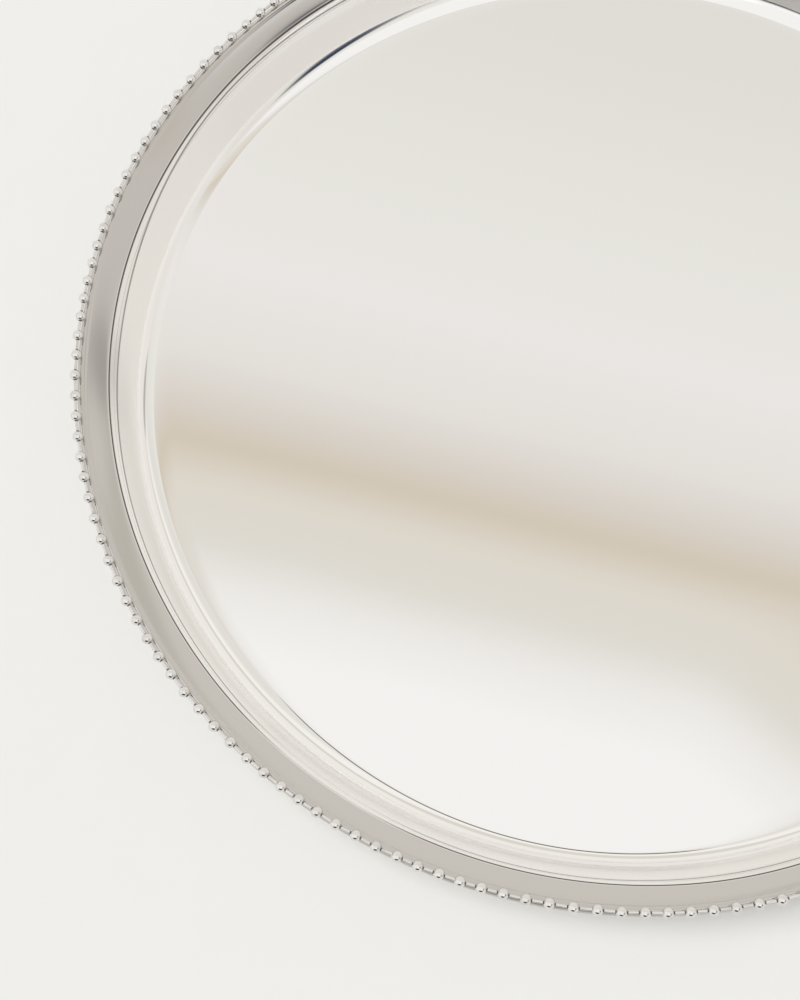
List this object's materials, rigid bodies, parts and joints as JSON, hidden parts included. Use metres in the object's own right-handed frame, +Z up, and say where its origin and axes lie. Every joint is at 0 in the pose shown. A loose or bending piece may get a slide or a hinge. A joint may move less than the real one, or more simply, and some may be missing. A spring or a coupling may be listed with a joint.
{
  "type": "beaded round tray",
  "caption": "Round polished stainless steel serving tray with a hollowed wall, a sloping rim and a ball chain soldered along its rolled edge.",
  "frame": {"origin": "middle of the underside, on the surface the tray stands on", "axes": "+Z up along the tray's axis; +X and +Y lie in the plane of the underside, with -Y towards the picture's camera"},
  "size_m": [0.3281, 0.3281, 0.0261],
  "materials": {
    "polished_sheet": "mirror-polished stainless steel sheet",
    "polished_chain": "bright polished stainless steel ball chain"
  },
  "bodies": {
    "root": {"tray_pan": "polished_sheet", "chain_run_01": "polished_chain", "chain_run_02": "polished_chain", "chain_run_03": "polished_chain", "chain_run_04": "polished_chain", "chain_run_05": "polished_chain", "chain_run_06": "polished_chain", "chain_run_07": "polished_chain", "chain_run_08": "polished_chain", "chain_run_09": "polished_chain", "chain_run_10": "polished_chain", "chain_run_11": "polished_chain", "chain_run_12": "polished_chain", "chain_run_13": "polished_chain", "chain_run_14": "polished_chain", "chain_run_15": "polished_chain", "chain_run_16": "polished_chain", "chain_run_17": "polished_chain", "chain_run_18": "polished_chain", "chain_run_19": "polished_chain", "chain_run_20": "polished_chain", "chain_run_21": "polished_chain", "chain_run_22": "polished_chain", "chain_run_23": "polished_chain", "chain_run_24": "polished_chain", "chain_run_25": "polished_chain", "chain_run_26": "polished_chain", "chain_run_27": "polished_chain", "chain_run_28": "polished_chain", "chain_run_29": "polished_chain", "chain_run_30": "polished_chain", "chain_run_31": "polished_chain", "chain_run_32": "polished_chain", "chain_run_33": "polished_chain", "chain_run_34": "polished_chain", "chain_run_35": "polished_chain", "chain_run_36": "polished_chain", "chain_run_37": "polished_chain", "chain_run_38": "polished_chain", "chain_run_39": "polished_chain", "chain_run_40": "polished_chain", "chain_run_41": "polished_chain", "chain_run_42": "polished_chain", "chain_run_43": "polished_chain", "chain_run_44": "polished_chain", "chain_run_45": "polished_chain", "chain_run_46": "polished_chain", "chain_run_47": "polished_chain", "chain_run_48": "polished_chain", "chain_run_49": "polished_chain", "chain_run_50": "polished_chain", "chain_run_51": "polished_chain", "chain_run_52": "polished_chain", "chain_run_53": "polished_chain", "chain_run_54": "polished_chain"}
  },
  "joints": []
}
